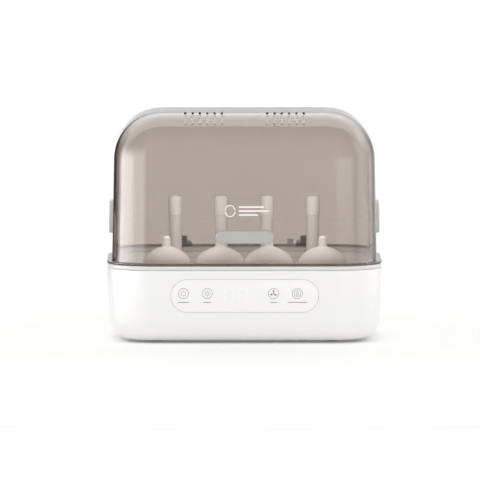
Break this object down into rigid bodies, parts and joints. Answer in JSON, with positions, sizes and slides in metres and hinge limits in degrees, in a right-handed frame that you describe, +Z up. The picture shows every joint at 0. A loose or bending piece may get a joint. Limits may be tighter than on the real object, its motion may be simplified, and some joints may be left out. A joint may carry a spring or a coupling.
{
  "type": "bottle sterilizer",
  "caption": "Countertop bottle sterilizer and dryer: white base with touch panel, hinged smoky clear lid, rack with posts over a drip tray, blower and heater inside.",
  "frame": {"origin": "bottom centre of the bounding box, on the surface the feet stand on", "axes": "+Z up, the control panel faces -Y, +X to the right seen from the front"},
  "size_m": [0.35, 0.2434, 0.2914],
  "materials": {
    "white_plastic": "satin moulded ABS",
    "smoke_lid": "clear smoky taupe, polished",
    "grey_plastic": "fine satin",
    "silicone": "matte, translucent grey",
    "rubber": "matte",
    "panel": "polished overlay",
    "circuit": "solder mask",
    "black_plastic": "moulded",
    "steel": "plated",
    "aluminium": "bare",
    "quartz": "polished",
    "filter": "non-woven felt"
  },
  "bodies": {
    "base": {"base_shell": "white_plastic", "bottom_cover": "white_plastic", "bottom_screw_front_left": "steel", "bottom_screw_front_right": "steel", "bottom_screw_back_left": "steel", "bottom_screw_back_right": "steel", "foot_front_left": "rubber", "foot_front_right": "rubber", "foot_back_left": "rubber", "foot_back_right": "rubber", "rim_ring": "grey_plastic", "rim_seal": "silicone", "control_lens": "panel", "control_board": "circuit", "display_module": "black_plastic", "touch_spring_1": "steel", "touch_spring_2": "steel", "touch_spring_3": "steel", "touch_spring_4": "steel", "inner_tub": "white_plastic", "uv_window_left": "quartz", "uv_window_right": "quartz", "uv_board_left": "aluminium", "uv_board_right": "aluminium", "hinge_bracket_left": "white_plastic", "hinge_bracket_right": "white_plastic", "hinge_pin_left": "steel", "hinge_pin_right": "steel", "blower_housing": "black_plastic", "blower_motor": "steel", "heater_duct": "black_plastic", "ptc_heater": "aluminium", "power_board": "circuit", "power_inlet": "black_plastic", "inlet_pin_left": "steel", "inlet_pin_right": "steel", "lid_sensor": "black_plastic"},
    "lid": {"lid_shell": "smoke_lid", "lid_handle": "grey_plastic", "side_grip_left": "grey_plastic", "side_grip_right": "grey_plastic", "lid_magnet": "steel", "hinge_leaf_left": "white_plastic", "hinge_leaf_right": "white_plastic"},
    "tray": {"drip_tray": "white_plastic"},
    "rack": {"bottle_rack": "white_plastic", "bottle_post_1": "white_plastic", "bottle_post_2": "white_plastic", "bottle_post_3": "white_plastic", "bottle_post_4": "white_plastic", "teat_holder_1": "white_plastic", "teat_holder_2": "white_plastic", "teat_holder_3": "white_plastic", "teat_holder_4": "white_plastic"},
    "blower_rotor": {"impeller": "black_plastic", "motor_shaft": "steel"},
    "filter_drawer": {"filter_cover": "white_plastic", "filter_pad": "filter"}
  },
  "joints": [
    {"name": "lid_hinge", "type": "hinge", "parent": "base", "child": "lid", "pos_m": [0, 0.11675, 0.1029], "axis": [-1, 0, 0], "range_deg": [0, 95]},
    {"name": "tray_lift", "type": "slide", "parent": "base", "child": "tray", "axis": [0, 0, 1], "range_m": [0, 0.04]},
    {"name": "rack_lift", "type": "slide", "parent": "tray", "child": "rack", "axis": [0, 0, 1], "range_m": [0, 0.06]},
    {"name": "blower_spin", "type": "hinge", "parent": "base", "child": "blower_rotor", "pos_m": [-0.06, 0.01125, 0.036], "axis": [0, 0, 1], "continuous": true},
    {"name": "filter_pull", "type": "slide", "parent": "base", "child": "filter_drawer", "axis": [0, 1, 0], "range_m": [0, 0.04]}
  ]
}
